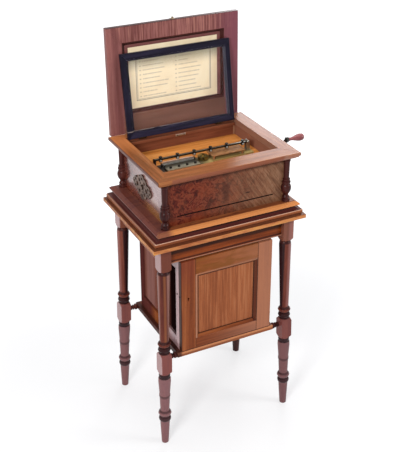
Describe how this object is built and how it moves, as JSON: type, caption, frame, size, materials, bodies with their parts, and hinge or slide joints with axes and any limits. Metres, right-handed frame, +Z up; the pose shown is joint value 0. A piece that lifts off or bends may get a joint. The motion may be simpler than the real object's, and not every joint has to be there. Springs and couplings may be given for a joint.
{
  "type": "disc music box on stand",
  "caption": "Crank-driven disc music box with hinged lid and glazed inner lid, on a turned-leg stand with a door cabinet for the discs.",
  "frame": {"origin": "middle of the overall plan outline, on the floor under the feet", "axes": "+Z up, front of the box towards -Y, crank on the +X side"},
  "size_m": [0.6478, 0.4554, 1.4181],
  "materials": {
    "leg_wood": "gloss varnish",
    "table_wood": "gloss varnish",
    "cabinet_wood": "gloss varnish",
    "dark_moulding": "satin varnish",
    "burl_veneer": "gloss varnish over burl veneer",
    "lid_wood": "gloss varnish",
    "deck_wood": "satin",
    "ebonised_wood": "satin black",
    "tune_paper": "printed paper stuck to the lid",
    "pane_glass": "clear",
    "steel": "ground",
    "brass": "aged",
    "dark_iron": "blacked",
    "cover_plate": "brown lacquer"
  },
  "bodies": {
    "stand": {"leg_front_left": "leg_wood", "leg_front_right": "leg_wood", "leg_back_left": "leg_wood", "leg_back_right": "leg_wood", "table_top": "table_wood", "aprons_long": "cabinet_wood", "aprons_short": "cabinet_wood", "pegs": "leg_wood", "cabinet_board": "cabinet_wood", "cabinet_sides": "cabinet_wood", "cabinet_panels": "cabinet_wood", "cabinet_back": "cabinet_wood", "door_hinge_fixed": "brass", "case_plinth": "ebonised_wood", "base_moulding": "table_wood", "case_floor": "deck_wood", "case_front": "burl_veneer", "case_back": "burl_veneer", "case_left": "burl_veneer", "case_right": "burl_veneer", "columns": "leg_wood", "rim": "table_wood", "side_ornament": "dark_iron", "glass_rests": "table_wood", "lid_hinge_fixed": "brass", "glass_hinge_fixed": "brass", "deck": "deck_wood", "bedplate": "dark_iron", "comb": "steel", "comb_screws": "dark_iron", "motor_cover": "cover_plate", "bar_bracket": "steel", "bar_rest": "dark_iron", "hub_foot": "dark_iron", "shaft_bearing": "dark_iron", "crank_bush": "brass"},
    "door": {"door_frame": "cabinet_wood", "door_panel": "cabinet_wood", "door_moulding": "dark_moulding", "door_lock": "dark_iron", "door_hinge_moving": "brass"},
    "lid": {"lid_frame": "lid_wood", "lid_panel": "lid_wood", "lid_moulding": "dark_moulding", "tune_sheet": "tune_paper", "lid_catch": "brass", "lid_hinge_moving": "brass"},
    "glass_lid": {"glass_frame": "ebonised_wood", "glass_pane": "pane_glass", "glass_hinge_moving": "brass"},
    "hub": {"hub": "brass", "crown_wheel": "brass"},
    "crank": {"crank_shaft": "steel", "crank_arm": "dark_iron"},
    "grip": {"crank_grip": "leg_wood"},
    "star_wheels": {"star_wheels": "steel"},
    "pressure_bar": {"bar_beam": "dark_iron", "bar_knobs": "dark_iron"},
    "rollers": {"rollers": "steel"}
  },
  "joints": [
    {"name": "lid_hinge", "type": "hinge", "parent": "stand", "child": "lid", "pos_m": [-0.03945, 0.19581, 1.03515], "axis": [-1, 0, 0], "range_deg": [-91.5, 0]},
    {"name": "glass_hinge", "type": "hinge", "parent": "stand", "child": "glass_lid", "pos_m": [-0.03945, 0.14931, 1.03], "axis": [-1, 0, 0], "range_deg": [-99.6, 0]},
    {"name": "door_hinge", "type": "hinge", "parent": "stand", "child": "door", "pos_m": [0.13945, -0.17485, 0.54], "axis": [0, 0, 1], "range_deg": [0, 105]},
    {"name": "crank_turn", "type": "hinge", "parent": "stand", "child": "crank", "pos_m": [0.25255, -0.01069, 0.95], "axis": [1, 0, 0], "continuous": true},
    {"name": "hub_turn", "type": "hinge", "parent": "stand", "child": "hub", "pos_m": [-0.03945, -0.01069, 0.981], "axis": [0, 0, 1], "continuous": true},
    {"name": "grip_spin", "type": "hinge", "parent": "crank", "child": "grip", "pos_m": [0.26095, -0.06761, 1.01711], "axis": [1, 0, 0], "continuous": true},
    {"name": "star_spin", "type": "hinge", "parent": "stand", "child": "star_wheels", "pos_m": [-0.12945, -0.00369, 0.99], "axis": [1, 0, 0], "continuous": true},
    {"name": "bar_lift", "type": "hinge", "parent": "stand", "child": "pressure_bar", "pos_m": [0.13455, -0.00569, 1.0115], "axis": [0, 1, 0], "range_deg": [0, 70]},
    {"name": "roller_spin", "type": "hinge", "parent": "pressure_bar", "child": "rollers", "pos_m": [-0.03945, -0.00569, 1.005], "axis": [1, 0, 0], "continuous": true}
  ],
  "couplings": [
    {"joint": "glass_hinge", "follows": "lid_hinge", "ratio": 1.0885},
    {"joint": "hub_turn", "follows": "crank_turn", "ratio": 0.15385}
  ]
}
